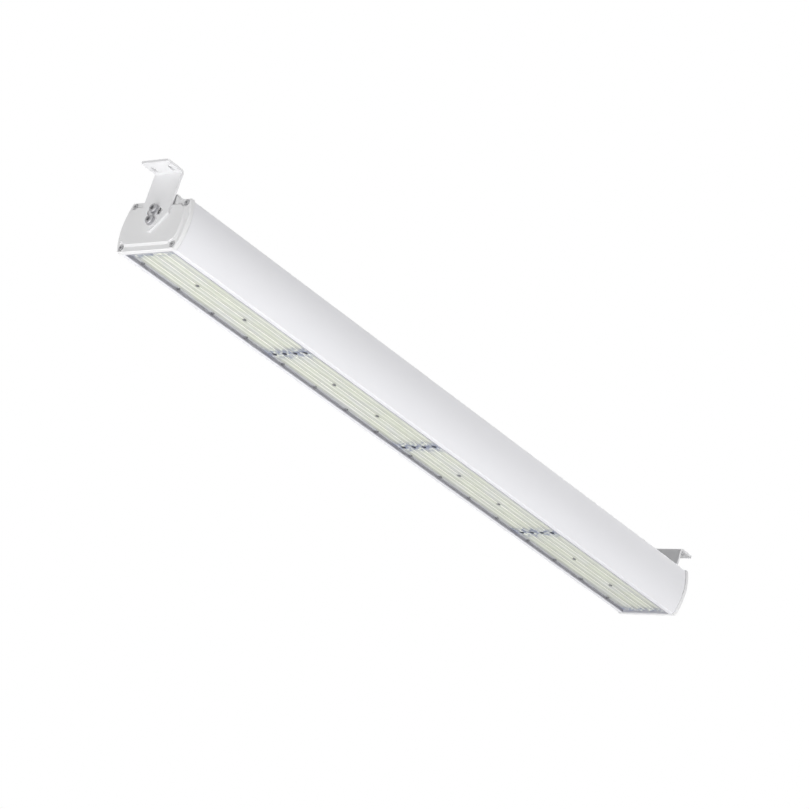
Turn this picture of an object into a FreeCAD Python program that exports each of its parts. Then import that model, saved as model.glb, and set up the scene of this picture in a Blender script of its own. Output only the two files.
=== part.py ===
import FreeCAD, Part
import os
from math import cos, radians, sin, sqrt
import Sketcher

# Linear LED high bay light. Frame: X along the body, Y across it, Z up, the
# rim of the light opening at Z = 0. "Left" is the -X end, "right" the +X end.
doc = FreeCAD.newDocument("high_bay_light")
sheet = doc.addObject("Spreadsheet::Sheet", "Dims")

# Driving dimensions in millimetres (angles in degrees), each with its meaning.
TABLE = [
    # extruded body
    ("housing_length", 1185, "extrusion between the two cap gaskets"),
    ("body_height", 76, "cap outline, rim to shoulder"),
    ("apex_half", 63.4, "half width of the cap at its widest"),
    ("apex_height", 39.5, "height of the widest place"),
    ("side_radius", 96, "radius of the curved flanks"),
    ("spine_foot", 35, "half width of the top spine at the shoulder"),
    ("spine_top", 25, "half width of the top spine at its top"),
    ("spine_height", 9, "spine above the shoulder"),
    ("skin", 2.4, "wall of the extrusion"),
    ("recess_half", 45.5, "half width of the light opening"),
    ("web_bottom", 12, "underside of the mounting web"),
    ("web_top", 15, "upper side of the mounting web"),
    ("port_block", 6.1, "screw port centre to the edge of its block"),
    ("port_radius", 2.05, "screw port in the extrusion"),
    ("spine_rib", 1.2, "half thickness of the rib between the spine hollows"),
    ("rim_radius", 1.6, "rounding of the bottom outer edges"),
    ("shoulder_radius", 3, "rounding of the shoulder edges"),
    # die-cast end caps
    ("overhang", 0.8, "cap outline beyond the extrusion"),
    ("gasket_thick", 1, "cap gasket"),
    ("gasket_inset", 1.6, "gasket outline inside the cap outline"),
    ("cap_flange", 6.5, "thickness of the cap flange"),
    ("cap_edge", 1, "chamfer round the cap flange"),
    ("panel_rise", 2.6, "raised panel above the flange"),
    ("panel_slope", 52, "slope of the panel edges, from the panel normal"),
    ("panel_inset", 5.5, "foot of the panel inside the cap outline"),
    ("panel_low", 7.6, "lower foot of the panel"),
    ("panel_drop", 6.2, "upper foot of the panel below the shoulder"),
    ("screw_across", 49.6, "cap screws from the middle plane"),
    ("screw_low", 7.4, "height of the lower cap screws"),
    ("screw_drop", 5.8, "upper cap screws below the shoulder"),
    ("screw_radius", 2, "cap screw shank"),
    ("screw_clear", 0.05, "running gap round a cap screw"),
    ("screw_head", 3.9, "cap screw head radius"),
    ("screw_head_high", 2.6, "cap screw head height"),
    ("screw_reach", 22, "cap screw length under the head"),
    ("screw_cross", 0.9, "width of the cross recess"),
    ("screw_arm", 2.4, "half length of the cross recess"),
    ("screw_cross_deep", 1.4, "depth of the cross recess"),
    ("seat_radius", 4.9, "counterbore of the cap screws"),
    ("seat_deep", 1.8, "depth of the counterbore"),
    ("scallop", 7.2, "scallop in the panel round each cap screw"),
    ("boss_radius", 9, "boss behind each bracket bolt"),
    ("boss_deep", 8, "boss behind the flange"),
    ("thread_deep", 16, "blind bore for a bracket bolt"),
    ("lip_deep", 4, "locating rim inside the extrusion"),
    ("lip_wall", 2.4, "wall of the locating rim"),
    ("lip_clear", 0.5, "locating rim to the extrusion"),
    ("lip_low", 18, "lower edge of the locating rim"),
    ("lip_drop", 16, "upper edge of the locating rim below the shoulder"),
    # adjustable brackets
    ("bracket_half", 26.5, "half width of the bracket"),
    ("bracket_thick", 3.5, "bracket sheet"),
    ("bracket_gap", 0.1, "bracket to the cap, and to the washers"),
    ("bracket_top", 118.5, "upper face of the bracket flange"),
    ("bracket_out", 33, "flange length from the back of the leg"),
    ("bend_inner", 2, "inside radius of the bend"),
    ("tip_radius", 5, "round lower tip of the leg"),
    ("tip_drop", 11.2, "centre of the tip below the pivot bolt"),
    ("foot_angle", 48.5, "slope of the tapered foot of the leg"),
    ("flange_corner", 3, "rounding of the flange corners"),
    ("pivot_drop", 34, "pivot bolt below the shoulder"),
    ("lock_rise", 17, "lock bolt above the pivot bolt"),
    ("swing", 36, "slot centre line to each side of the lock bolt"),
    ("bolt_radius", 4, "bracket bolts"),
    ("pivot_clear", 0.06, "running gap round the pivot bolt"),
    ("lock_clear", 0.4, "gap between the lock bolt and its slot"),
    ("thread_clear", 0.05, "bolt to its bore in the cap"),
    ("bolt_head", 6.5, "bolt head radius"),
    ("bolt_head_high", 5, "bolt head height"),
    ("bolt_grip", 14, "bolt in the cap"),
    ("bolt_hex", 6, "hexagon socket across flats"),
    ("bolt_hex_deep", 3, "depth of the hexagon socket"),
    ("head_chamfer", 0.8, "chamfer of the bolt head"),
    ("washer_radius", 8, "washer"),
    ("washer_bore", 4.2, "washer bore radius"),
    ("washer_thick", 1.4, "washer thickness"),
    ("slot_half", 2.75, "half width of a ceiling slot"),
    ("slot_length", 12, "ceiling slot from end to end"),
    ("slot_out", 15, "ceiling slot centre from the back of the leg"),
    ("slot_across", 16.5, "ceiling slot centre from the middle plane"),
    # light modules
    ("module_count", 4, "light modules along the body"),
    ("module_gap", 0.6, "gap between two optic plates"),
    ("optic_half", 43.9, "half width of an optic plate"),
    ("optic_low", 4.6, "outer face of an optic plate"),
    ("optic_thick", 2, "optic plate"),
    ("row_pitch", 20, "spacing of the four rows"),
    ("lobe_half", 8.25, "half width of a linear lens"),
    ("lobe_radius", 18.9, "outside radius of a linear lens"),
    ("groove_half", 6, "half width of the groove over a row"),
    ("groove_radius", 15.6, "radius of the groove over a row"),
    ("frame_wall", 1.2, "lining of the light opening"),
    ("frame_low", 2.2, "lower edge of the lining"),
    ("frame_gap", 0.1, "lining to the extrusion and to the optics"),
    ("foot_inner", 39.2, "half width inside the sealing foot"),
    ("bar_half", 3.4, "half width of a cross bar under a joint"),
    ("board_half", 38.4, "half width of an LED board"),
    ("board_thick", 1.6, "LED board"),
    ("board_short", 8.4, "board shorter than the module pitch"),
    ("led_long", 3, "LED package along the row"),
    ("led_wide", 2.8, "LED package across the row"),
    ("led_high", 0.7, "LED package height"),
    ("led_pitch", 22.8, "LED spacing along a row"),
    ("led_count", 12, "LEDs in one row of one module"),
    ("link_half", 4, "half width of a board link"),
    ("link_long", 15, "board link across a joint"),
    ("link_high", 2.4, "board link height"),
    ("pin_radius", 1.5, "optic screw shank"),
    ("pin_clear", 0.2, "hole round an optic screw"),
    ("pin_head", 2.5, "optic screw head radius"),
    ("pin_head_high", 1.5, "optic screw head height"),
    ("pin_across", 41.3, "edge screws from the middle plane"),
    ("pin_first", 0.105, "first edge screw along the module, as a share"),
    ("pin_step", 0.2425, "edge screw spacing, as a share of the module"),
    ("centre_share", 0.1667, "centre screws each side of the module centre"),
    ("clamp_radius", 3.2, "head radius of a joint screw"),
    ("clamp_seat", 3.8, "seat round a joint screw or a centre screw"),
    ("pin_bite", 2.2, "depth of the tapped holes in the web"),
    ("pin_rest", 0.2, "screw end to the bottom of its tapped hole"),
    # gear inside the body
    ("driver_middle", 150, "driver centre from the middle of the body"),
    ("driver_length", 240, "driver"),
    ("driver_half", 30, "half width of the driver"),
    ("driver_high", 32, "driver height"),
    ("driver_foot", 14, "mounting ear beyond each driver end"),
    ("ear_thick", 2.5, "driver mounting ear"),
    ("ear_pin", 2, "driver screw radius"),
    ("ear_head", 3.8, "driver screw head radius"),
    ("driver_round", 2.5, "rounding of the driver case"),
    ("block_from_end", 122.5, "terminal block centre from the end of the body"),
    ("block_long", 42, "terminal block length"),
    ("block_half", 11, "half width of the terminal block"),
    ("block_high", 16, "terminal block height"),
    ("pole_pitch", 13, "spacing of the three poles"),
    ("pole_half", 3.2, "half width of a wire entry"),
    ("pole_deep", 5, "depth of a wire entry"),
    ("lead_radius", 1.3, "internal lead"),
    ("lead_height", 23, "height of the leads"),
    ("lead_apart", 3.6, "spacing of the leads beside the terminal block"),
    # cable entry and vent in the right cap
    ("entry_across", 38, "gland and vent from the middle plane"),
    ("entry_height", 31.5, "height of the gland and the vent"),
    ("gland_thread", 8, "gland thread radius"),
    ("gland_flats", 19, "gland hexagon across flats"),
    ("gland_hex_high", 6, "gland hexagon height"),
    ("gland_dome", 8.6, "radius of the gland's sealing nut"),
    ("gland_out", 21, "gland beyond the panel"),
    ("gland_bore", 3.6, "cable bore of the gland"),
    ("gland_in", 20, "gland thread behind the panel face"),
    ("nut_flats", 20, "gland lock nut across flats"),
    ("nut_high", 4.5, "gland lock nut"),
    ("vent_radius", 8, "breather vent head"),
    ("vent_high", 5, "breather vent head height"),
    ("vent_thread", 5.9, "breather vent thread radius"),
    ("vent_in", 17, "vent thread behind the panel face"),
    ("vent_round", 1.6, "rounding of the vent head"),
    ("entry_clear", 0.1, "gland and vent threads to their holes"),
]
for row, (alias, number, note) in enumerate(TABLE, start=1):
    sheet.set(f"A{row}", alias)
    sheet.set(f"B{row}", str(number))
    sheet.set(f"C{row}", note)
    sheet.setAlias(f"B{row}", alias)
doc.recompute()


class Size:
    """A number together with the sheet expression that drives it."""

    def __init__(self, value, text=None):
        self.value = float(value)
        self.text = text or repr(float(value))

    @staticmethod
    def of(other):
        return other if isinstance(other, Size) else Size(other)

    def __add__(self, other):
        other = Size.of(other)
        return Size(self.value + other.value, f"({self.text} + {other.text})")

    def __sub__(self, other):
        other = Size.of(other)
        return Size(self.value - other.value, f"({self.text} - {other.text})")

    def __mul__(self, other):
        other = Size.of(other)
        return Size(self.value * other.value, f"({self.text} * {other.text})")

    def __truediv__(self, other):
        other = Size.of(other)
        return Size(self.value / other.value, f"({self.text} / {other.text})")

    def __neg__(self):
        return Size(-self.value, f"(0 - {self.text})")

    def __radd__(self, other):
        return Size.of(other) + self

    def __rsub__(self, other):
        return Size.of(other) - self

    def __rmul__(self, other):
        return Size.of(other) * self

    def root(self):
        return Size(sqrt(self.value), f"sqrt({self.text})")

    def sine(self):
        return Size(sin(radians(self.value)), f"sin({self.text} * 1 deg)")

    def cosine(self):
        return Size(cos(radians(self.value)), f"cos({self.text} * 1 deg)")


D = {alias: Size(number, f"Dims.{alias}") for alias, number, note in TABLE}

# Distances from the middle of the body along X, the same for both ends.
cap_back = D["housing_length"] / 2 + D["gasket_thick"]
cap_front = cap_back + D["cap_flange"]
panel_face = cap_front + D["panel_rise"]
leg_back = panel_face + D["bracket_gap"]
leg_front = leg_back + D["bracket_thick"]
washer_back = leg_front + D["bracket_gap"]
head_back = washer_back + D["washer_thick"]
block_middle = D["housing_length"] / 2 - D["block_from_end"]

# Heights above the rim of the light opening.
pivot_height = D["body_height"] - D["pivot_drop"]
lock_height = pivot_height + D["lock_rise"]
screw_high = D["body_height"] - D["screw_drop"]
panel_high = D["body_height"] - D["panel_drop"]
lip_high = D["body_height"] - D["lip_drop"]
optic_top = D["optic_low"] + D["optic_thick"]

# Light modules from the left end, and joints named by the module after them.
MODULES = range(1, int(D["module_count"].value) + 1)
JOINTS = MODULES[1:]
module_pitch = D["housing_length"] / D["module_count"]
ROWS = [D["row_pitch"] * share for share in (-1.5, -0.5, 0.5, 1.5)]


# ---------------------------------------------------------------- helpers
def new_body(name):
    body = doc.addObject("PartDesign::Body", name)
    body.AllowCompound = True
    return body


def plane_of(body, role):
    return next(p for p in body.Origin.OriginFeatures if p.Role == role)


def new_sketch(body, name, role, offset=None):
    """A sketch on an origin plane of the body, moved along the plane's normal."""
    sketch = body.newObject("Sketcher::SketchObject", name)
    sketch.AttachmentSupport = [(plane_of(body, role), "")]
    sketch.MapMode = "FlatFace"
    if offset is not None:
        sketch.setExpression(".AttachmentOffset.Base.z", offset.text)
    return sketch


def pin_point(sketch, edge, end, point):
    """Hold one end of an edge at a point measured from the sketch origin."""
    for kind, axis, size in (("DistanceX", -2, point[0]), ("DistanceY", -1, point[1])):
        if size.value == 0:
            sketch.addConstraint(Sketcher.Constraint("PointOnObject", edge, end, axis))
        else:
            held = sketch.addConstraint(
                Sketcher.Constraint(kind, -1, 1, edge, end, size.value))
            sketch.setExpression(f"Constraints[{held}]", size.text)


def set_radius(sketch, edge, radius):
    held = sketch.addConstraint(Sketcher.Constraint("Radius", edge, radius.value))
    sketch.setExpression(f"Constraints[{held}]", radius.text)


def add_arc(sketch, start, middle, stop):
    """An arc kept anticlockwise; also says whether its ends changed places."""
    turned = (middle - start).cross(stop - middle).z < 0
    ends = (stop, start) if turned else (start, stop)
    edge = sketch.addGeometry(Part.Arc(ends[0], middle, ends[1]), False)
    return edge, turned


def outline(sketch, steps):
    """Close a loop through the steps: (x, y) for a line to the next step, or
    (x, y, radius, side) for an arc that swells to that side of the chord."""
    points = [FreeCAD.Vector(step[0].value, step[1].value, 0) for step in steps]
    placed = []
    for number, step in enumerate(steps):
        start, stop = points[number], points[(number + 1) % len(steps)]
        if len(step) == 2:
            edge = sketch.addGeometry(Part.LineSegment(start, stop), False)
            placed.append((edge, 1, 2))
            continue
        chord = stop - start
        half = chord.Length / 2
        rise = step[2].value - sqrt(max(step[2].value ** 2 - half ** 2, 0))
        normal = FreeCAD.Vector(-chord.y, chord.x, 0).normalize()
        middle = (start + stop) / 2 + normal * rise * step[3]
        edge, turned = add_arc(sketch, start, middle, stop)
        placed.append((edge, 2, 1) if turned else (edge, 1, 2))
    for number, step in enumerate(steps):
        edge, begin, finish = placed[number]
        following, follow_begin, _ = placed[(number + 1) % len(steps)]
        sketch.addConstraint(
            Sketcher.Constraint("Coincident", edge, finish, following, follow_begin))
        pin_point(sketch, edge, begin, step)
        if len(step) == 4 and step[2].value - points_half(points, number) > 1e-6:
            set_radius(sketch, edge, step[2])
        elif len(step) == 4:
            # A half turn: its centre lies on the chord's middle.
            held = ((step[0] + steps[(number + 1) % len(steps)][0]) / 2,
                    (step[1] + steps[(number + 1) % len(steps)][1]) / 2)
            flat = abs(points[number].y - points[(number + 1) % len(steps)].y) < 1e-9
            kind, size = ("DistanceY", held[1]) if flat else ("DistanceX", held[0])
            if size.value == 0:
                sketch.addConstraint(Sketcher.Constraint(
                    "PointOnObject", edge, 3, -1 if flat else -2))
            else:
                at = sketch.addConstraint(
                    Sketcher.Constraint(kind, -1, 1, edge, 3, size.value))
                sketch.setExpression(f"Constraints[{at}]", size.text)


def points_half(points, number):
    return (points[(number + 1) % len(points)] - points[number]).Length / 2


def rectangle(sketch, left, right, low, high):
    outline(sketch, [(left, low), (right, low), (right, high), (left, high)])


def circle(sketch, across, up, radius):
    shape = Part.Circle(FreeCAD.Vector(across.value, up.value, 0),
                        FreeCAD.Vector(0, 0, 1), radius.value)
    edge = sketch.addGeometry(shape, False)
    pin_point(sketch, edge, 3, (across, up))
    set_radius(sketch, edge, radius)


def hexagon(sketch, across, up, flats):
    far, near = flats / sqrt(3), flats / (2 * sqrt(3))
    outline(sketch, [
        (across + far, up), (across + near, up + flats / 2),
        (across - near, up + flats / 2), (across - far, up),
        (across - near, up - flats / 2), (across + near, up - flats / 2)])


def feature(body, kind, name, sketch, length, back=False, middle=False):
    """A pad or a pocket of the given length along the sketch normal."""
    made = body.newObject(f"PartDesign::{kind}", name)
    made.Profile = sketch
    made.SideType = "Symmetric" if middle else "One side"
    made.Reversed = back
    made.setExpression("Length", length.text)
    sketch.Visibility = False
    body.Tip = made
    return made


def pad(body, name, sketch, length, back=False, middle=False):
    return feature(body, "Pad", name, sketch, length, back, middle)


def cut(body, name, sketch, length, back=False, middle=False):
    """A pocket; back = False cuts toward the sketch normal."""
    doc.recompute()
    before = body.Shape.Volume
    made = feature(body, "Pocket", name, sketch, length, not back, middle)
    doc.recompute()
    if body.Shape.Volume >= before - 1e-6:
        raise RuntimeError(f"{name} takes nothing away")
    return made


def repeat(body, name, originals, sketch, axis, length, count):
    """A row of copies of the originals along an axis of the sketch."""
    made = body.newObject("PartDesign::LinearPattern", name)
    made.Originals = originals
    made.Direction = (sketch, [axis])
    made.setExpression("Length", length.text)
    made.Occurrences = count
    body.Tip = made
    return made


def soften(body, kind, name, edges, size):
    """A fillet or a chamfer on the numbered edges of the body's last shape."""
    base = body.Tip
    made = body.newObject(f"PartDesign::{kind}", name)
    made.Base = (base, [f"Edge{number}" for number in edges])
    made.setExpression("Radius" if kind == "Fillet" else "Size", size.text)
    body.Tip = made
    doc.recompute()
    return made


def edges_where(body, test):
    """Numbers of the edges whose bounding box passes the test."""
    doc.recompute()
    return [number for number, edge in enumerate(body.Shape.Edges, start=1)
            if test(edge.BoundBox)]


def flat_at(low, high, value):
    return abs(low - value) < 1e-4 and abs(high - value) < 1e-4


def flank(height, inset):
    """Half width of the curved side at a height, inset from the cap outline."""
    radius = D["side_radius"] - inset
    rise = height - D["apex_height"]
    return D["apex_half"] - D["side_radius"] + (radius * radius - rise * rise).root()


def section(inset):
    """The outline of the body across Y and Z, inset from the cap outline."""
    low, shoulder = Size(0) + inset, D["body_height"] - inset
    top = shoulder + D["spine_height"]
    radius = D["side_radius"] - inset
    return [
        (-flank(low, inset), low), (flank(low, inset), low, radius, -1),
        (flank(shoulder, inset), shoulder), (D["spine_foot"], shoulder),
        (D["spine_top"], top), (-D["spine_top"], top),
        (-D["spine_foot"], shoulder), (-flank(shoulder, inset), shoulder, radius, -1)]


def corners():
    """Centres of the four cap screws."""
    return [(side * D["screw_across"], height)
            for side in (-1, 1) for height in (D["screw_low"], screw_high)]


# ---------------------------------------------------------------- the extrusion
def make_housing():
    body = new_body("housing")
    inset, length = D["overhang"], D["housing_length"]
    sketch = new_sketch(body, "housing_outline", "YZ_Plane")
    outline(sketch, section(inset))
    pad(body, "housing_pad", sketch, length, middle=True)

    # Gear room over the web, with a solid block round each upper screw port.
    wall = inset + D["skin"]
    floor, roof = D["web_top"], D["body_height"] - wall
    step = screw_high - D["port_block"]
    block = D["screw_across"] - D["port_block"]
    radius = D["side_radius"] - wall
    sketch = new_sketch(body, "gear_room", "YZ_Plane")
    outline(sketch, [
        (-flank(floor, wall), floor), (flank(floor, wall), floor, radius, -1),
        (flank(step, wall), step), (block, step), (block, roof), (-block, roof),
        (-block, step), (-flank(step, wall), step, radius, -1)])
    cut(body, "gear_room_cut", sketch, length, middle=True)

    sketch = new_sketch(body, "light_opening", "YZ_Plane")
    rectangle(sketch, -D["recess_half"], D["recess_half"], Size(0), D["web_bottom"])
    cut(body, "light_opening_cut", sketch, length, middle=True)

    # Two hollows in the spine, with a rib between them.
    base = D["body_height"] - inset
    roof = base + D["spine_height"] - D["skin"]
    flare = (D["spine_foot"] - D["spine_top"]) / D["spine_height"]
    high = D["spine_top"] - D["skin"]
    low = high + (roof - base) * flare
    sketch = new_sketch(body, "spine_hollows", "YZ_Plane")
    for side in (-1, 1):
        outline(sketch, [(side * D["spine_rib"], base), (side * low, base),
                         (side * high, roof), (side * D["spine_rib"], roof)])
    cut(body, "spine_hollows_cut", sketch, length, middle=True)

    sketch = new_sketch(body, "screw_ports", "YZ_Plane")
    for across, up in corners():
        circle(sketch, across, up, D["port_radius"])
    cut(body, "screw_ports_cut", sketch, length, middle=True)

    # Tapped holes in the web: optic screws from below, driver screws from above.
    sketch = new_sketch(body, "optic_taps", "XY_Plane", D["web_bottom"])
    for along, across in all_optic_places():
        circle(sketch, along, across, D["pin_radius"] + D["thread_clear"])
    cut(body, "optic_taps_cut", sketch, D["pin_bite"])
    sketch = new_sketch(body, "driver_taps", "XY_Plane", D["web_top"])
    for along in driver_ears():
        circle(sketch, along, Size(0), D["ear_pin"] + D["thread_clear"])
    cut(body, "driver_taps_cut", sketch, D["pin_bite"], back=True)

    low, high = inset.value, D["body_height"].value - inset.value
    width = flank(inset, inset).value, flank(D["body_height"] - inset, inset).value
    long_edge = length.value / 2
    rims = edges_where(body, lambda b: b.XLength > long_edge
                       and flat_at(b.ZMin, b.ZMax, low)
                       and abs(abs(b.YMin) - width[0]) < 1e-3)
    soften(body, "Fillet", "rim_rounding", rims, D["rim_radius"])
    shoulders = edges_where(body, lambda b: b.XLength > long_edge
                            and flat_at(b.ZMin, b.ZMax, high)
                            and abs(abs(b.YMin) - width[1]) < 1e-3)
    soften(body, "Fillet", "shoulder_rounding", shoulders, D["shoulder_radius"])
    return body


# ---------------------------------------------------------------- end caps
def make_gasket(name, side):
    body = new_body(name)
    sketch = new_sketch(body, f"{name}_outline", "YZ_Plane",
                        side * D["housing_length"] / 2)
    inset = D["gasket_inset"]
    low, roof = Size(0) + inset, D["body_height"] - inset
    radius = D["side_radius"] - inset
    outline(sketch, [
        (-flank(low, inset), low), (flank(low, inset), low, radius, -1),
        (flank(roof, inset), roof), (-flank(roof, inset), roof, radius, -1)])
    wall, play = D["overhang"] + D["skin"] + D["lip_clear"] / 2, D["lip_clear"] / 2
    low, high = D["lip_low"] - play, lip_high + play
    radius = D["side_radius"] - wall
    outline(sketch, [
        (-flank(low, wall), low), (flank(low, wall), low, radius, -1),
        (flank(high, wall), high), (-flank(high, wall), high, radius, -1)])
    for across, up in corners():
        circle(sketch, across, up, D["screw_radius"] + D["pin_clear"])
    pad(body, f"{name}_pad", sketch, D["gasket_thick"], back=side < 0)
    sketch = new_sketch(body, f"{name}_relief", "YZ_Plane",
                        side * D["housing_length"] / 2)
    circle(sketch, Size(0), lock_height, D["boss_radius"] + play)
    cut(body, f"{name}_relief_cut", sketch, D["gasket_thick"], back=side < 0)
    return body


def make_cap(name, side):
    """A die-cast cap: flange, raised panel, scalloped corners, bosses behind."""
    body = new_body(name)
    back = side < 0
    sketch = new_sketch(body, f"{name}_flange", "YZ_Plane", side * cap_back)
    outline(sketch, section(Size(0)))
    pad(body, f"{name}_flange_pad", sketch, D["cap_flange"], back=back)
    plane = side * cap_front.value
    rim = edges_where(body, lambda b: flat_at(b.XMin, b.XMax, plane))
    soften(body, "Chamfer", f"{name}_edge", rim, D["cap_edge"])

    # Its edges slope in to the flat face that carries the bracket.
    inset, low, high = D["panel_inset"], D["panel_low"], panel_high
    radius = D["side_radius"] - inset
    sketch = new_sketch(body, f"{name}_panel", "YZ_Plane", side * cap_front)
    outline(sketch, [
        (-flank(low, inset), low), (flank(low, inset), low, radius, -1),
        (flank(high, inset), high), (-flank(high, inset), high, radius, -1)])
    panel = pad(body, f"{name}_panel_pad", sketch, D["panel_rise"], back=back)
    panel.setExpression("TaperAngle", (-D["panel_slope"]).text)

    sketch = new_sketch(body, f"{name}_scallops", "YZ_Plane", side * cap_front)
    for across, up in corners():
        circle(sketch, across, up, D["scallop"])
    cut(body, f"{name}_scallops_cut", sketch, D["panel_rise"], back=back)
    sketch = new_sketch(body, f"{name}_seats", "YZ_Plane", side * cap_front)
    for across, up in corners():
        circle(sketch, across, up, D["seat_radius"])
    cut(body, f"{name}_seats_cut", sketch, D["seat_deep"], back=not back)
    sketch = new_sketch(body, f"{name}_holes", "YZ_Plane", side * cap_back)
    for across, up in corners():
        circle(sketch, across, up, D["screw_radius"] + D["pin_clear"])
    cut(body, f"{name}_holes_cut", sketch, D["cap_flange"], back=back)

    # Behind the flange: two bolt bosses and a locating rim in the gear room.
    sketch = new_sketch(body, f"{name}_bosses", "YZ_Plane", side * cap_back)
    for word, height in (("pivot", pivot_height), ("lock", lock_height)):
        boss = new_sketch(body, f"{name}_{word}_boss", "YZ_Plane", side * cap_back)
        circle(boss, Size(0), height, D["boss_radius"])
        pad(body, f"{name}_{word}_boss_pad", boss, D["boss_deep"], back=not back)
    wall = D["overhang"] + D["skin"] + D["lip_clear"]
    thin = wall + D["lip_wall"]
    low, high = D["lip_low"], lip_high
    outline(sketch, [
        (-flank(low, wall), low), (flank(low, wall), low, D["side_radius"] - wall, -1),
        (flank(high, wall), high),
        (-flank(high, wall), high, D["side_radius"] - wall, -1)])
    low, high = low + D["lip_wall"], high - D["lip_wall"]
    outline(sketch, [
        (-flank(low, thin), low), (flank(low, thin), low, D["side_radius"] - thin, -1),
        (flank(high, thin), high),
        (-flank(high, thin), high, D["side_radius"] - thin, -1)])
    pad(body, f"{name}_rim_pad", sketch, D["lip_deep"] + D["gasket_thick"],
        back=not back)

    sketch = new_sketch(body, f"{name}_bores", "YZ_Plane", side * panel_face)
    for height in (pivot_height, lock_height):
        circle(sketch, Size(0), height, D["bolt_radius"] + D["thread_clear"])
    cut(body, f"{name}_bores_cut", sketch, D["thread_deep"], back=not back)
    if side > 0:
        sketch = new_sketch(body, f"{name}_entries", "YZ_Plane", panel_face)
        circle(sketch, D["entry_across"], D["entry_height"],
               D["gland_thread"] + D["entry_clear"])
        circle(sketch, -D["entry_across"], D["entry_height"],
               D["vent_thread"] + D["entry_clear"])
        cut(body, f"{name}_entries_cut", sketch, D["panel_rise"] + D["cap_flange"],
            back=True)
    return body


def make_cap_screws(name, side):
    """Four pan head screws with cross recesses, one group."""
    body = new_body(name)
    seat = side * (cap_front - D["seat_deep"])
    top = seat + side * D["screw_head_high"]
    sketch = new_sketch(body, f"{name}_heads", "YZ_Plane", seat)
    for across, up in corners():
        circle(sketch, across, up, D["screw_head"])
    pad(body, f"{name}_heads_pad", sketch, D["screw_head_high"], back=side < 0)
    sketch = new_sketch(body, f"{name}_shanks", "YZ_Plane", seat)
    for across, up in corners():
        circle(sketch, across, up, D["screw_radius"])
    pad(body, f"{name}_shanks_pad", sketch, D["screw_reach"], back=side > 0)
    sketch = new_sketch(body, f"{name}_crosses", "YZ_Plane", top)
    arm, half = D["screw_arm"], D["screw_cross"] / 2
    for across, up in corners():
        outline(sketch, [
            (across - half, up - arm), (across + half, up - arm),
            (across + half, up - half), (across + arm, up - half),
            (across + arm, up + half), (across + half, up + half),
            (across + half, up + arm), (across - half, up + arm),
            (across - half, up + half), (across - arm, up + half),
            (across - arm, up - half), (across - half, up - half)])
    cut(body, f"{name}_crosses_cut", sketch, D["screw_cross_deep"], back=side > 0)
    return body


# ---------------------------------------------------------------- brackets
def make_bracket(name, side):
    """Bent sheet: a leg with a tapered foot, and a flange turned outward."""
    body = new_body(name)
    half, thick = D["bracket_half"], D["bracket_thick"]
    outer_bend = D["bend_inner"] + thick
    bend_low = D["bracket_top"] - outer_bend
    slope = D["foot_angle"]
    across = D["tip_radius"] * slope.sine()
    low = pivot_height - D["tip_drop"] - D["tip_radius"] * slope.cosine()
    taper = low + (half - across) * slope.sine() / slope.cosine()
    sketch = new_sketch(body, f"{name}_leg", "YZ_Plane", side * leg_back)
    outline(sketch, [
        (-half, bend_low), (-half, taper), (-across, low, D["tip_radius"], -1),
        (across, low), (half, taper), (half, bend_low)])
    pad(body, f"{name}_leg_pad", sketch, thick, back=side < 0)

    top, under = D["bracket_top"], D["bracket_top"] - thick
    tip = side * (leg_back + D["bracket_out"])
    sketch = new_sketch(body, f"{name}_flange", "XZ_Plane")
    outline(sketch, [
        (side * leg_back, bend_low, outer_bend, side),
        (side * (leg_back + outer_bend), top), (tip, top), (tip, under),
        (side * (leg_front + D["bend_inner"]), under, D["bend_inner"], -side),
        (side * leg_front, bend_low)])
    pad(body, f"{name}_flange_pad", sketch, half * 2, middle=True)

    slot, length = D["slot_half"], D["slot_length"] / 2 - D["slot_half"]
    centre = side * (leg_back + D["slot_out"])
    sketch = new_sketch(body, f"{name}_slots", "XY_Plane", under)
    for across in (-D["slot_across"], D["slot_across"]):
        outline(sketch, [
            (centre - length, across - slot), (centre + length, across - slot, slot, -1),
            (centre + length, across + slot), (centre - length, across + slot, slot, -1)])
    cut(body, f"{name}_slots_cut", sketch, thick)

    sketch = new_sketch(body, f"{name}_pivot", "YZ_Plane", side * leg_back)
    circle(sketch, Size(0), pivot_height, D["bolt_radius"] + D["pivot_clear"])
    cut(body, f"{name}_pivot_cut", sketch, thick, back=side < 0)

    # Curved slot about the pivot: two arcs joined by half turns.
    wide = D["bolt_radius"] + D["lock_clear"]
    near, far = D["lock_rise"] - wide, D["lock_rise"] + wide
    turn_x, turn_y = D["swing"].sine(), D["swing"].cosine()
    at = lambda reach, way: (way * reach * turn_x, pivot_height + reach * turn_y)
    sketch = new_sketch(body, f"{name}_arc", "YZ_Plane", side * leg_back)
    curved_slot(sketch, at(near, -1), at(near, 1), at(far, 1), at(far, -1), near, far)
    cut(body, f"{name}_arc_cut", sketch, thick, back=side < 0)

    plane = tip.value
    ends = edges_where(body, lambda b: flat_at(b.XMin, b.XMax, plane)
                       and b.ZLength > 1 and b.YLength < 1e-4)
    soften(body, "Fillet", f"{name}_corners", ends, D["flange_corner"])
    return body


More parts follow.
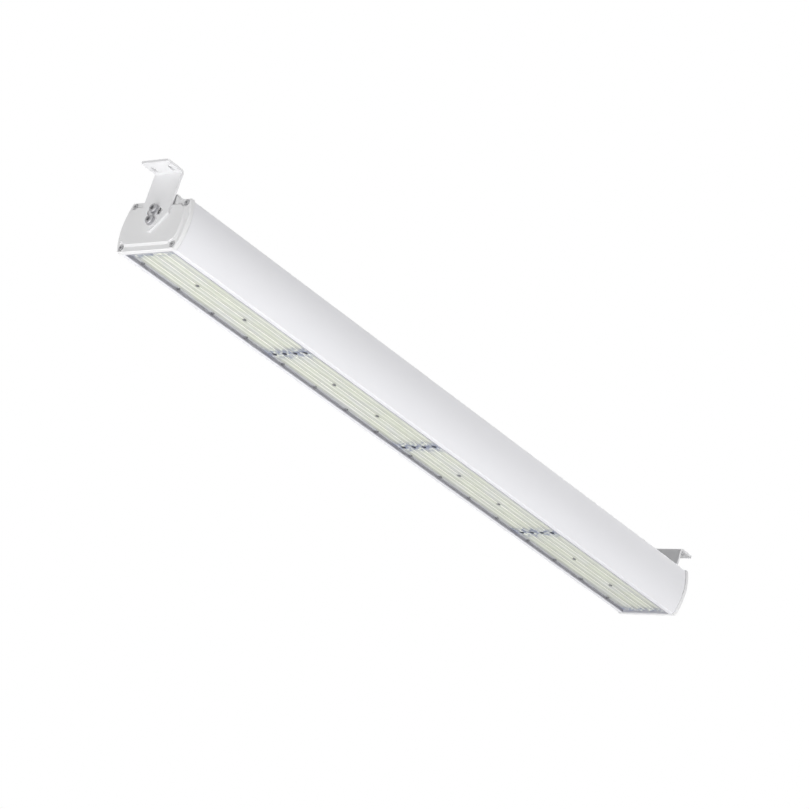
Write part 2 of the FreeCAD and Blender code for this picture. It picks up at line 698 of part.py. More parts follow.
def curved_slot(sketch, low_a, low_b, high_b, high_a, near, far):
    """A slot of constant width about the pivot."""
    vector = lambda point: FreeCAD.Vector(point[0].value, point[1].value, 0)
    pivot = FreeCAD.Vector(0, pivot_height.value, 0)
    up = FreeCAD.Vector(0, 1, 0)
    wide = (far - near) / 2

    def end_middle(low, high):
        along = (vector(high) - vector(low)).normalize()
        outward = FreeCAD.Vector(along.y, -along.x, 0)
        if outward.x * vector(low).x < 0:
            outward = -outward
        return (vector(low) + vector(high)) / 2 + outward * wide.value

    inner, _ = add_arc(sketch, vector(low_b), pivot + up * near.value, vector(low_a))
    right, _ = add_arc(sketch, vector(low_b), end_middle(low_b, high_b), vector(high_b))
    outer, _ = add_arc(sketch, vector(high_b), pivot + up * far.value, vector(high_a))
    left, _ = add_arc(sketch, vector(high_a), end_middle(low_a, high_a), vector(low_a))
    joins = [(inner, 1, right, 1, low_b[0]), (right, 2, outer, 1, high_b[0]),
             (outer, 2, left, 1, high_a[0]), (left, 2, inner, 2, low_a[0])]
    for edge, radius in ((inner, near), (outer, far)):
        pin_point(sketch, edge, 3, (Size(0), pivot_height))
        set_radius(sketch, edge, radius)
    for edge, end, other, other_end, across in joins:
        sketch.addConstraint(
            Sketcher.Constraint("Coincident", edge, end, other, other_end))
        held = sketch.addConstraint(
            Sketcher.Constraint("DistanceX", -1, 1, edge, end, across.value))
        sketch.setExpression(f"Constraints[{held}]", across.text)
    for edge, low, high in ((right, low_b, high_b), (left, high_a, low_a)):
        middle = (low[0] + high[0]) / 2
        held = sketch.addConstraint(
            Sketcher.Constraint("DistanceX", -1, 1, edge, 3, middle.value))
        sketch.setExpression(f"Constraints[{held}]", middle.text)


def make_bolt(name, side, height):
    """Socket head bolt through the washer and the bracket into the cap."""
    body = new_body(name)
    sketch = new_sketch(body, f"{name}_head", "YZ_Plane", side * head_back)
    circle(sketch, Size(0), height, D["bolt_head"])
    pad(body, f"{name}_head_pad", sketch, D["bolt_head_high"], back=side < 0)
    top = side * (head_back + D["bolt_head_high"])
    brow = edges_where(body, lambda b: flat_at(b.XMin, b.XMax, top.value))
    soften(body, "Chamfer", f"{name}_brow", brow, D["head_chamfer"])
    sketch = new_sketch(body, f"{name}_shank", "YZ_Plane", side * head_back)
    circle(sketch, Size(0), height, D["bolt_radius"])
    length = head_back - panel_face + D["bolt_grip"]
    pad(body, f"{name}_shank_pad", sketch, length, back=side > 0)
    sketch = new_sketch(body, f"{name}_socket", "YZ_Plane", top)
    hexagon(sketch, Size(0), height, D["bolt_hex"])
    cut(body, f"{name}_socket_cut", sketch, D["bolt_hex_deep"], back=side > 0)
    return body


def make_washer(name, side, height):
    body = new_body(name)
    sketch = new_sketch(body, f"{name}_ring", "YZ_Plane", side * washer_back)
    circle(sketch, Size(0), height, D["washer_radius"])
    circle(sketch, Size(0), height, D["washer_bore"])
    pad(body, f"{name}_pad", sketch, D["washer_thick"], back=side < 0)
    return body


# ---------------------------------------------------------------- light modules
def module_start(number):
    return module_pitch * (number - 1) - D["housing_length"] / 2


def edge_stations(number):
    """X of the four pairs of edge screws of one module."""
    return [module_start(number) + module_pitch * (D["pin_first"] + D["pin_step"] * step)
            for step in range(4)]


def centre_stations(number):
    middle = module_start(number) + module_pitch / 2
    return [middle + module_pitch * D["centre_share"] * way for way in (-1, 1)]


def optic_places(number):
    """The screws of one module: eight along its edges, two on its centre line."""
    places = [(station, across) for station in edge_stations(number)
              for across in (-D["pin_across"], D["pin_across"])]
    return places + [(station, Size(0)) for station in centre_stations(number)]


def joint_places(joint):
    return [(module_start(joint), row) for row in ROWS]


def all_optic_places():
    places = [place for number in MODULES for place in optic_places(number)]
    return places + [place for joint in JOINTS for place in joint_places(joint)]


def driver_ears():
    """X of the screws in the two ears of the driver."""
    reach = D["driver_length"] / 2 + D["driver_foot"] / 2
    return [D["driver_middle"] - reach, D["driver_middle"] + reach]


def joint_stations(number):
    """X of the joints at the ends of one module that carry screws."""
    return [module_start(joint) for joint in JOINTS if joint in (number, number + 1)]


def make_optic(number):
    """Clear plate with four linear lenses outside and grooves over the LEDs."""
    name = f"optic_{number}"
    body = new_body(name)
    low, high, half = D["optic_low"], optic_top, D["optic_half"]
    steps = [(-half, low)]
    for row in ROWS:
        steps += [(row - D["lobe_half"], low, D["lobe_radius"], -1),
                  (row + D["lobe_half"], low)]
    steps += [(half, low), (half, high)]
    for row in reversed(ROWS):
        steps += [(row + D["groove_half"], high, D["groove_radius"], 1),
                  (row - D["groove_half"], high)]
    steps += [(-half, high)]
    middle = module_start(number) + module_pitch / 2
    sketch = new_sketch(body, f"{name}_profile", "YZ_Plane", middle)
    outline(sketch, steps)
    length = module_pitch - D["module_gap"]
    if number in (MODULES[0], MODULES[-1]):
        # An end plate stops at the lining of the end cap.
        length = length - D["frame_wall"] - D["frame_gap"]
        way = 1 if number == MODULES[0] else -1
        shift = (D["frame_wall"] + D["frame_gap"]) / 2 * way
        sketch.setExpression(".AttachmentOffset.Base.z", (middle + shift).text)
    pad(body, f"{name}_pad", sketch, length, middle=True)

    # Flat seats in the lenses under the screw heads, then the screw holes.
    sketch = new_sketch(body, f"{name}_seats", "XY_Plane")
    for station in centre_stations(number):
        circle(sketch, station, Size(0), D["clamp_seat"])
    for station in joint_stations(number):
        for row in ROWS:
            circle(sketch, station, row, D["clamp_seat"])
    cut(body, f"{name}_seats_cut", sketch, low)
    hole, through = D["pin_radius"] + D["pin_clear"], optic_top + D["optic_thick"]
    sketch = new_sketch(body, f"{name}_notches", "XY_Plane")
    for station in joint_stations(number):
        for row in ROWS:
            circle(sketch, station, row, hole)
    cut(body, f"{name}_notches_cut", sketch, through)
    sketch = new_sketch(body, f"{name}_holes", "XY_Plane")
    for station in centre_stations(number):
        circle(sketch, station, Size(0), hole)
    for station in edge_stations(number):
        for across in (-D["pin_across"], D["pin_across"]):
            circle(sketch, station, across, hole)
    cut(body, f"{name}_holes_cut", sketch, through)
    return body


def make_lens_frame():
    """Dark seal: a lining of the light opening, a foot behind the optics and a
    cross bar under each joint between two optic plates."""
    body = new_body("lens_frame")
    outer = D["recess_half"] - D["frame_gap"]
    inner = outer - D["frame_wall"]
    end = D["housing_length"] / 2
    sketch = new_sketch(body, "frame_plan", "XY_Plane", D["frame_low"])
    rectangle(sketch, -end, end, -outer, outer)
    high = D["web_bottom"] - D["frame_low"] - D["frame_gap"]
    pad(body, "frame_block", sketch, high)
    sketch = new_sketch(body, "frame_window", "XY_Plane", D["frame_low"])
    rectangle(sketch, D["frame_wall"] - end, end - D["frame_wall"], -inner, inner)
    cut(body, "frame_window_cut", sketch, optic_top - D["frame_low"])
    sketch = new_sketch(body, "frame_panes", "XY_Plane", optic_top)
    foot = D["foot_inner"]
    side = D["recess_half"] - D["foot_inner"]
    for number in MODULES:
        start = module_start(number) + (side if number == MODULES[0] else D["bar_half"])
        stop = module_start(number) + module_pitch - (
            side if number == MODULES[-1] else D["bar_half"])
        rectangle(sketch, start, stop, -foot, foot)
    cut(body, "frame_panes_cut", sketch, D["web_bottom"] - optic_top)
    sketch = new_sketch(body, "frame_holes", "XY_Plane", optic_top)
    hole = D["pin_radius"] + D["pin_clear"]
    for number in MODULES:
        for station in edge_stations(number):
            for across in (-D["pin_across"], D["pin_across"]):
                circle(sketch, station, across, hole)
    for joint in JOINTS:
        for row in ROWS:
            circle(sketch, module_start(joint), row, hole)
    cut(body, "frame_holes_cut", sketch, D["web_bottom"] - optic_top)
    # Ways for the board links through the cross bars.
    sketch = new_sketch(body, "frame_ways", "XY_Plane", optic_top)
    way = D["link_half"] + D["pin_clear"]
    for joint in JOINTS:
        rectangle(sketch, module_start(joint) - D["bar_half"],
                  module_start(joint) + D["bar_half"], -way, way)
    cut(body, "frame_ways_cut", sketch, D["web_bottom"] - optic_top)
    return body


def make_board(number):
    name = f"led_board_{number}"
    body = new_body(name)
    bottom = D["web_bottom"] - D["board_thick"]
    middle = module_start(number) + module_pitch / 2
    half = (module_pitch - D["board_short"]) / 2
    sketch = new_sketch(body, f"{name}_plan", "XY_Plane", bottom)
    start, stop = middle - half, middle + half
    side = D["recess_half"] - D["foot_inner"] + D["pin_clear"]
    if number == MODULES[0]:
        start = module_start(number) + side
    if number == MODULES[-1]:
        stop = module_start(number) + module_pitch - side
    rectangle(sketch, start, stop, -D["board_half"], D["board_half"])
    for station in centre_stations(number):
        circle(sketch, station, Size(0), D["pin_radius"] + D["pin_clear"])
    pad(body, f"{name}_pad", sketch, D["board_thick"])
    return body


def make_leds(number):
    """Four rows of LED packages under one board, one group."""
    name = f"leds_{number}"
    body = new_body(name)
    top = D["web_bottom"] - D["board_thick"]
    span = D["led_pitch"] * (D["led_count"] - 1)
    first = module_start(number) + module_pitch / 2 - span / 2
    sketch = new_sketch(body, f"{name}_plan", "XY_Plane", top)
    for row in ROWS:
        rectangle(sketch, first - D["led_long"] / 2, first + D["led_long"] / 2,
                  row - D["led_wide"] / 2, row + D["led_wide"] / 2)
    made = pad(body, f"{name}_pad", sketch, D["led_high"], back=True)
    doc.recompute()
    repeat(body, f"{name}_row", [made], sketch, "H_Axis", span,
           int(D["led_count"].value))
    return body


def make_optic_screws(number):
    name = f"optic_screws_{number}"
    return screw_group(name, optic_places(number), D["pin_head"])


def make_joint_screws(number):
    """Four dark screws that clamp the meeting ends of two optic plates."""
    return screw_group(f"joint_screws_{number}", joint_places(number + 1),
                       D["clamp_radius"])


def screw_group(name, places, head):
    body = new_body(name)
    sketch = new_sketch(body, f"{name}_heads", "XY_Plane", D["optic_low"])
    for along, across in places:
        circle(sketch, along, across, head)
    pad(body, f"{name}_heads_pad", sketch, D["pin_head_high"], back=True)
    sketch = new_sketch(body, f"{name}_shanks", "XY_Plane", D["optic_low"])
    for along, across in places:
        circle(sketch, along, across, D["pin_radius"])
    pad(body, f"{name}_shanks_pad", sketch,
        D["web_bottom"] + D["pin_bite"] - D["pin_rest"] - D["optic_low"])
    return body


def make_links():
    """Low connectors that join neighbouring LED boards."""
    body = new_body("board_links")
    low = D["web_bottom"] - D["board_thick"]
    sketch = new_sketch(body, "links_plan", "XY_Plane", low)
    for joint in JOINTS:
        rectangle(sketch, module_start(joint) - D["link_long"] / 2,
                  module_start(joint) + D["link_long"] / 2,
                  -D["link_half"], D["link_half"])
    pad(body, "links_pad", sketch, D["link_high"] - D["board_thick"], back=True)
    sketch = new_sketch(body, "links_necks", "XY_Plane", low)
    neck = D["board_short"] / 2 - D["pin_clear"]
    for joint in JOINTS:
        rectangle(sketch, module_start(joint) - neck, module_start(joint) + neck,
                  -D["link_half"], D["link_half"])
    pad(body, "links_necks_pad", sketch, D["board_thick"])
    return body


# ---------------------------------------------------------------- gear inside
def make_driver():
    body = new_body("driver")
    middle, half = D["driver_middle"], D["driver_length"] / 2
    sketch = new_sketch(body, "driver_plan", "XY_Plane", D["web_top"])
    rectangle(sketch, middle - half, middle + half, -D["driver_half"], D["driver_half"])
    pad(body, "driver_case", sketch, D["driver_high"])
    top = D["web_top"].value + D["driver_high"].value
    brow = edges_where(body, lambda b: flat_at(b.ZMin, b.ZMax, top))
    soften(body, "Fillet", "driver_brow", brow, D["driver_round"])
    sketch = new_sketch(body, "driver_ears", "XY_Plane", D["web_top"])
    foot = D["driver_foot"]
    rectangle(sketch, middle - half - foot, middle + half + foot,
              -D["driver_half"] / 2, D["driver_half"] / 2)
    pad(body, "driver_ears_pad", sketch, D["ear_thick"])
    sketch = new_sketch(body, "driver_holes", "XY_Plane", D["web_top"])
    for along in driver_ears():
        circle(sketch, along, Size(0), D["ear_pin"] + D["pin_clear"])
    cut(body, "driver_holes_cut", sketch, D["ear_thick"])
    return body


def make_driver_screws():
    body = new_body("driver_screws")
    seat = D["web_top"] + D["ear_thick"]
    sketch = new_sketch(body, "driver_screw_heads", "XY_Plane", seat)
    for along in driver_ears():
        circle(sketch, along, Size(0), D["ear_head"])
    pad(body, "driver_screw_heads_pad", sketch, D["pin_head_high"])
    sketch = new_sketch(body, "driver_screw_shanks", "XY_Plane", seat)
    for along in driver_ears():
        circle(sketch, along, Size(0), D["ear_pin"])
    pad(body, "driver_screw_shanks_pad", sketch,
        D["ear_thick"] + D["pin_bite"] - D["pin_rest"], back=True)
    return body


def poles():
    return [D["pole_pitch"] * step for step in (-1, 0, 1)]


def make_terminal_block():
    """Three pole block: the poles lie side by side along X."""
    body = new_body("terminal_block")
    middle, half = block_middle, D["block_long"] / 2
    sketch = new_sketch(body, "block_plan", "XY_Plane", D["web_top"])
    rectangle(sketch, middle - half, middle + half, -D["block_half"], D["block_half"])
    pad(body, "block_pad", sketch, D["block_high"])
    for side, word in ((-1, "front"), (1, "rear")):
        face = D["block_half"] * side * -1
        sketch = new_sketch(body, f"block_entries_{word}", "XZ_Plane", face)
        for pole in poles():
            circle(sketch, middle + pole, D["lead_height"], D["pole_half"])
        cut(body, f"block_entries_{word}_cut", sketch, D["pole_deep"], back=side < 0)
    return body


def make_leads():
    """Three leads from the driver into the front of the terminal block."""
    body = new_body("internal_leads")
    start = D["driver_middle"] + D["driver_length"] / 2
    deep = D["block_half"] - D["pole_deep"]
    for step, pole in enumerate(poles()):
        across = -D["block_half"] - D["lead_apart"] * (step + 1)
        stop = block_middle + pole
        sketch = new_sketch(body, f"lead_{step}_turn", "XZ_Plane", deep)
        circle(sketch, stop, D["lead_height"], D["lead_radius"])
        pad(body, f"lead_{step}_turn_pad", sketch, -across - deep)
        sketch = new_sketch(body, f"lead_{step}_run", "YZ_Plane", start)
        circle(sketch, across, D["lead_height"], D["lead_radius"])
        pad(body, f"lead_{step}_run_pad", sketch, stop + D["lead_radius"] - start)
    return body


# ---------------------------------------------------------------- cable entry, vent
def make_gland():
    body = new_body("cable_gland")
    across, up = D["entry_across"], D["entry_height"]
    sketch = new_sketch(body, "gland_hexagon", "YZ_Plane", panel_face)
    hexagon(sketch, across, up, D["gland_flats"])
    pad(body, "gland_hexagon_pad", sketch, D["gland_hex_high"])
    sketch = new_sketch(body, "gland_nut_plan", "YZ_Plane",
                        panel_face + D["gland_hex_high"])
    circle(sketch, across, up, D["gland_dome"])
    pad(body, "gland_nut_pad", sketch, D["gland_out"] - D["gland_hex_high"])
    end = (panel_face + D["gland_out"]).value
    brow = edges_where(body, lambda b: flat_at(b.XMin, b.XMax, end))
    soften(body, "Fillet", "gland_round", brow, D["driver_round"])
    sketch = new_sketch(body, "gland_stem", "YZ_Plane", panel_face)
    circle(sketch, across, up, D["gland_thread"])
    pad(body, "gland_stem_pad", sketch, D["gland_in"], back=True)
    sketch = new_sketch(body, "gland_way", "YZ_Plane", panel_face - D["gland_in"])
    circle(sketch, across, up, D["gland_bore"])
    cut(body, "gland_way_cut", sketch, D["gland_in"] + D["gland_out"])
    return body


def make_gland_nut():
    body = new_body("gland_lock_nut")
    sketch = new_sketch(body, "lock_nut_plan", "YZ_Plane", cap_back)
    hexagon(sketch, D["entry_across"], D["entry_height"], D["nut_flats"])
    circle(sketch, D["entry_across"], D["entry_height"],
           D["gland_thread"] + D["entry_clear"])
    pad(body, "lock_nut_pad", sketch, D["nut_high"], back=True)
    return body


def make_vent():
    body = new_body("breather_vent")
    across, up = -D["entry_across"], D["entry_height"]
    sketch = new_sketch(body, "vent_head", "YZ_Plane", panel_face)
    circle(sketch, across, up, D["vent_radius"])
    pad(body, "vent_head_pad", sketch, D["vent_high"])
    end = (panel_face + D["vent_high"]).value
    brow = edges_where(body, lambda b: flat_at(b.XMin, b.XMax, end))
    soften(body, "Fillet", "vent_rounding", brow, D["vent_round"])
    sketch = new_sketch(body, "vent_stem", "YZ_Plane", panel_face)
    circle(sketch, across, up, D["vent_thread"])
    pad(body, "vent_stem_pad", sketch, D["vent_in"], back=True)
    return body


# ---------------------------------------------------------------- build and export
nodes = [make_housing(), make_lens_frame(), make_links(), make_driver(),
         make_driver_screws(), make_terminal_block(), make_leads(), make_gland(),
         make_gland_nut(), make_vent()]
for word, side in (("left", -1), ("right", 1)):
    nodes += [
        make_cap(f"end_cap_{word}", side), make_gasket(f"cap_gasket_{word}", side),
        make_cap_screws(f"cap_screws_{word}", side), make_bracket(f"bracket_{word}", side),
        make_bolt(f"pivot_bolt_{word}", side, pivot_height),
        make_bolt(f"lock_bolt_{word}", side, lock_height),
        make_washer(f"pivot_washer_{word}", side, pivot_height),
        make_washer(f"lock_washer_{word}", side, lock_height)]
for number in MODULES:
    nodes += [make_optic(number), make_board(number), make_leds(number),
              make_optic_screws(number)]
for number in range(1, len(MODULES)):
    nodes.append(make_joint_screws(number))
doc.recompute()

for item in doc.Objects:
    if "Invalid" in item.State or "Error" in item.State:
        raise RuntimeError(f"{item.Name} does not recompute: {item.State}")
os.makedirs("parts", exist_ok=True)
for node in nodes:
    if node.Shape.isNull() or not node.Shape.isValid():
        raise RuntimeError(f"{node.Name} has no valid shape")
    node.Shape.exportStep(f"parts/{node.Name}.step")
print(f"{len(nodes)} nodes exported")
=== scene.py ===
# %% [markdown]
# # A linear high bay light
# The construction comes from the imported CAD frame: every part sits at its real
# size in metres. This file gives each part its finish, adds the small parts that
# are easier to model here, and sets up the camera, the light and the stage.

from functools import partial
from math import pi

import bmesh
import bpy
from mathutils import Matrix, Vector


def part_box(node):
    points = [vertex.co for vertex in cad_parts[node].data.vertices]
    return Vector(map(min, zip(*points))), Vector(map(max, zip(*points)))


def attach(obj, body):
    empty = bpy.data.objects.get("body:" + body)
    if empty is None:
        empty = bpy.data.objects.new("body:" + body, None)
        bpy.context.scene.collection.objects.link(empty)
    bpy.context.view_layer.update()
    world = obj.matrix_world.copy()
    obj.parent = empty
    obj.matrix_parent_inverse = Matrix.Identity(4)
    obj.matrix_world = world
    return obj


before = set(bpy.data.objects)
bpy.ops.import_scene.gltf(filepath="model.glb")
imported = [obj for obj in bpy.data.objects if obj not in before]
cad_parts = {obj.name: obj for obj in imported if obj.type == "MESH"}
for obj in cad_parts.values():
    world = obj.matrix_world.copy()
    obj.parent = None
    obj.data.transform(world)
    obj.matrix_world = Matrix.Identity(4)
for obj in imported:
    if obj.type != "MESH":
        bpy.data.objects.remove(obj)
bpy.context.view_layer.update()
SIDES = ("left", "right")
MODULES = (1, 2, 3, 4)      # light modules, from left to right

# %% [markdown]
# ## Camera
# The lamp hangs above the viewer, so the camera stands to the left of it, in
# front and below, and looks up. A long lens keeps the far end nearly as large as
# the near end. The camera is placed by its position and by two directions: where
# it looks, and what lies to its right. The third direction is square to both.

# %% Camera
EYE = Vector((-2.9881, -3.0096, -1.4890))
RIGHT = Vector((0.6080, -0.7397, 0.2883)).normalized()
AHEAD = Vector((0.6558, 0.6726, 0.3429)).normalized()
LENS = 137.55           # millimetres
FARTHEST = 200          # metres, well beyond the floor


def make_camera():
    data = bpy.data.cameras.new("camera")
    data.lens = LENS
    data.clip_end = FARTHEST
    camera = bpy.data.objects.new("camera", data)
    bpy.context.collection.objects.link(camera)
    up = RIGHT.cross(AHEAD)
    turn = Matrix((RIGHT, up, -AHEAD)).transposed()
    camera.matrix_world = Matrix.Translation(EYE) @ turn.to_4x4()
    bpy.context.scene.camera = camera
    return camera


print("camera:", make_camera().location)

# %% [markdown]
# ## Shader maths in Python
# A finish is a graph of nodes, and most of a graph is arithmetic. `Value` wraps a
# socket so that an ordinary expression such as `1 - mask * 0.2` adds the Math
# nodes for it. `Graph` fills a node tree: its one method `node` adds any other
# node, with its settings first and then the values or links of its sockets.

# %% Value and Graph
class Value:
    """A socket that can be used in arithmetic."""

    def __init__(self, graph, socket):
        self.graph = graph
        self.socket = socket

    def maths(self, operation, first, second=0.0):
        return self.graph.node("ShaderNodeMath", {"operation": operation},
                               {0: first, 1: second})

    def __add__(self, other):
        return self.maths("ADD", self, other)

    def __sub__(self, other):
        return self.maths("SUBTRACT", self, other)

    def __rsub__(self, other):
        return self.maths("SUBTRACT", other, self)

    def __mul__(self, other):
        return self.maths("MULTIPLY", self, other)

    def __truediv__(self, other):
        return self.maths("DIVIDE", self, other)

    def __pow__(self, other):
        return self.maths("POWER", self, other)

    __radd__ = __add__
    __rmul__ = __mul__

    def apply(self, operation, other=0.0):
        return self.maths(operation, self, other)

    def clamp(self, low, high):
        return self.apply("MAXIMUM", low).apply("MINIMUM", high)

    def output(self, name):
        """Another output of the same node."""
        return Value(self.graph, self.socket.node.outputs[name])


class Graph:
    """A node tree that is filled from Python."""

    def __init__(self, tree):
        self.tree = tree

    def connect(self, socket, value):
        if isinstance(value, Value):
            self.tree.links.new(value.socket, socket)
        else:
            socket.default_value = value

    def node(self, kind, settings=None, inputs=None, output=0):
        """Adds a node; settings come first, because some change its sockets."""
        made = self.tree.nodes.new(kind)
        for name, setting in (settings or {}).items():
            setattr(made, name, setting)
        for name, value in (inputs or {}).items():
            self.connect(made.inputs[name], value)
        return Value(self, made.outputs[output]) if len(made.outputs) else None


print("graph helpers ready")

# %% [markdown]
# ## Finishes
# A `Finish` is a graph round one main shader. `shade` sets or links one of the
# shader's sockets, `noise` and `place` read the point being shaded in the part's
# own coordinates, so that a pattern stays on the part when it moves, and `dress`
# puts the finish on parts of the frame. A Mix node carries two sets of sockets,
# so the places of its colour sockets are named here.

# %% Finish
MIX_FIRST, MIX_SECOND, MIX_RESULT = 6, 7, 2


class Finish(Graph):
    """A material made around one Principled shader."""

    def __init__(self, name, colour, roughness, **constants):
        self.material = bpy.data.materials.new(name)
        self.material.use_nodes = True
        super().__init__(self.material.node_tree)
        self.shader = self.tree.nodes["Principled BSDF"]
        self.shade("Base Color", (*colour, 1))
        self.shade("Roughness", roughness)
        for socket, value in constants.items():
            self.shade(socket.replace("_", " "), value)

    def shade(self, socket, value):
        self.connect(self.shader.inputs[socket], value)

    def place(self):
        """The point being shaded, and its X, Y and Z, in metres on the part."""
        whole = self.node("ShaderNodeTexCoord", output="Object")
        split = self.node("ShaderNodeSeparateXYZ", inputs={0: whole})
        return whole, [split.output(axis) for axis in "XYZ"]

    def noise(self, scale, detail=2.0, stretch=(1, 1, 1)):
        """Cloudy values from 0 to 1, about one cloud in 1/scale metres."""
        whole, _ = self.place()
        moved = self.node("ShaderNodeMapping", inputs={0: whole, "Scale": stretch})
        return self.node("ShaderNodeTexNoise", {"noise_dimensions": "3D"},
                         {"Vector": moved, "Scale": scale, "Detail": detail})

    def between(self, first, second, factor):
        """A colour between two others: the first at 0, the second at 1."""
        first, second = [(*tone, 1) if isinstance(tone, tuple) else tone
                         for tone in (first, second)]
        return self.node("ShaderNodeMix", {"data_type": "RGBA"},
                         {"Factor": factor, MIX_FIRST: first, MIX_SECOND: second},
                         output=MIX_RESULT)

    def bump(self, height, distance, strength=1.0):
        """Raises the surface: distance is the relief in metres."""
        normal = self.node("ShaderNodeBump", inputs={
            "Height": height, "Distance": distance, "Strength": strength})
        self.shade("Normal", normal)

    def dress(self, *nodes):
        for name in nodes:
            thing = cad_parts[name]
            thing.data.materials.clear()
            thing.data.materials.append(self.material)


def lit(colour, share):
    """The colour with its light multiplied: a share under 1 darkens it."""
    return tuple(min(1, part * share) for part in colour)


def each(stem, keys):
    """The names of a row of parts, such as optic_1 to optic_4."""
    return [f"{stem}_{key}" for key in keys]


print("finish helpers ready")

# %% [markdown]
# ## World and floor
# The lamp is shown in even white studio light. The world gives part of that
# light, and less of it from overhead, where a studio is dark. What the camera,
# metal and clear plastic see directly is plain white instead, which Light Path
# tells apart. The floor lies far below, because the lamp is looked at from
# underneath. It takes shadows as a pale matt floor does, and looks white.

# %% World and floor
WHITE = (1, 1, 1, 1)
WORLD_LEVEL = 0.48      # at the horizon and below it
SKY_LEVEL = 0.24        # overhead
SKY_HEIGHT = 0.6        # the overhead level starts at this height of the view
FLOOR_TONE = (0.9, 0.9, 0.9, 1)
FLOOR_HEIGHT = -6.0
FLOOR_HALF = 60


def make_world():
    world = bpy.data.worlds.new("studio")
    world.use_nodes = True
    world.node_tree.nodes.clear()
    graph = Graph(world.node_tree)
    rays = graph.node("ShaderNodeLightPath", output="Is Camera Ray")
    direct = rays.apply("MAXIMUM", rays.output("Is Glossy Ray")).apply(
        "MAXIMUM", rays.output("Is Transmission Ray"))
    way = graph.node("ShaderNodeTexCoord", output="Generated")
    height = graph.node("ShaderNodeSeparateXYZ", inputs={0: way}, output="Z")
    level = graph.node("ShaderNodeMapRange", inputs={
        "Value": height, "From Min": 0.0, "From Max": SKY_HEIGHT,
        "To Min": WORLD_LEVEL, "To Max": SKY_LEVEL})
    light = graph.node("ShaderNodeBackground",
                       inputs={"Color": WHITE, "Strength": level})
    white = graph.node("ShaderNodeBackground", inputs={"Color": WHITE})
    mix = graph.node("ShaderNodeMixShader", inputs={0: direct, 1: light, 2: white})
    graph.node("ShaderNodeOutputWorld", inputs={0: mix})
    bpy.context.scene.world = world


def make_floor():
    shape = bmesh.new()
    bmesh.ops.create_grid(shape, x_segments=1, y_segments=1, size=FLOOR_HALF)
    bmesh.ops.translate(shape, verts=shape.verts, vec=(0, 0, FLOOR_HEIGHT))
    mesh = bpy.data.meshes.new("floor")
    shape.to_mesh(mesh)
    shape.free()
    floor = bpy.data.objects.new("floor", mesh)
    bpy.context.collection.objects.link(floor)
    pale = bpy.data.materials.new("pale_floor")
    pale.use_nodes = True
    pale.node_tree.nodes.clear()
    graph = Graph(pale.node_tree)
    seen = graph.node("ShaderNodeLightPath", output="Is Camera Ray")
    matt = graph.node("ShaderNodeBsdfDiffuse", inputs={"Color": FLOOR_TONE})
    glow = graph.node("ShaderNodeEmission", inputs={"Color": WHITE})
    mix = graph.node("ShaderNodeMixShader", inputs={0: seen, 1: matt, 2: glow})
    graph.node("ShaderNodeOutputMaterial", inputs={0: mix})
    mesh.materials.append(pale)
    return floor


bpy.context.scene.view_settings.view_transform = "Standard"
make_world()
print("floor at", make_floor().data.vertices[0].co.z)

# %% [markdown]
# ## Lamps
# Large soft lamps do the rest. One below lifts the undersides, as a pale studio
# floor does, and the others stand in front, to the left, behind and to the right.
# Each is about three or four metres wide, which leaves no hard edge on any
# shadow. The left one stands low, so that the body keeps the far bracket's inner
# face in shade.

# %% Lamps
# Name: where it stands, the length of its side, its power in watts.
LAMPS = {
    "lamp_below": ((-0.6, -0.5, -3.2), 4.0, 112),
    "lamp_front": ((0.6, -4.5, 1.3), 3.0, 97),
    "lamp_left": ((-4.6, -0.8, -2.3), 2.8, 108),
    "lamp_behind": ((0.8, 4.5, 1.2), 3.0, 66),
    "lamp_right": ((4.4, 0.4, 2.2), 3.0, 78)}


def make_lamp(name, place, aim, size, power):
    data = bpy.data.lights.new(name, "AREA")
    data.shape = "SQUARE"
    data.size = size
    data.energy = power
    lamp = bpy.data.objects.new(name, data)
    bpy.context.collection.objects.link(lamp)
    lamp.location = place
    away = Vector(aim) - Vector(place)
    lamp.rotation_euler = away.to_track_quat("-Z", "Y").to_euler()
    lamp.visible_camera = False
    return lamp


for name, (place, size, power) in LAMPS.items():
    make_lamp(name, place, (0, 0, 0), size, power)
print("lamps:", ", ".join(LAMPS))

# %% [markdown]
# ## Powder coat
# The body, the caps and the brackets are powder coated in a pale cool grey. The
# powder melts to a satin skin with a very fine orange peel, and it thins a little
# where it flowed, so the tone drifts by a few percent. Two noises do this: a
# wide one for the tone, and one of about a millimetre for the peel.

# %% Powder coat
THIN_COAT = 0.965       # light of the thinner coat, as a share of the full one
PEEL_RELIEF = 0.00004


def powder_coat(name, colour):
    finish = Finish(name, colour, 0.42, Specular_IOR_Level=0.4)
    cloud = finish.noise(scale=6.0, detail=3.0)
    finish.shade("Base Color", finish.between(lit(colour, THIN_COAT), colour, cloud))
    finish.shade("Roughness", 0.38 + 0.1 * finish.noise(scale=40.0))
    finish.bump(finish.noise(scale=900.0, detail=1.0), PEEL_RELIEF)
    return finish


powder_coat("body_paint", (0.80, 0.80, 0.825)).dress("housing")
powder_coat("cap_paint", (0.79, 0.79, 0.795)).dress(*each("end_cap", SIDES))
powder_coat("bracket_paint", (0.80, 0.80, 0.81)).dress(*each("bracket", SIDES))
print("painted: body, caps and brackets")

# %% [markdown]
# ## Turned and plated steel
# Bolts, washers and cap screws are turned, so their faces carry fine rings about
# the screw's own axis. All of them point along X, so the distance from the axis
# is worked out from Y and Z, and a sine of it raises the rings. The same distance
# marks the socket or the cross in the middle, which is darker: painted shade of
# the recess, with some oil. A head's rim is rubbed a little brighter than its face.

# %% Turned steel
RING_PITCH = 0.00055
RING_RELIEF = 0.000012
# The socket's tone is painted shade of the recess, with some oil.
SOCKET_SHADE = (0.34, 0.34, 0.35)
STAINED, RUBBED = 0.80, 1.25    # light of stains and of a rubbed rim, as shares


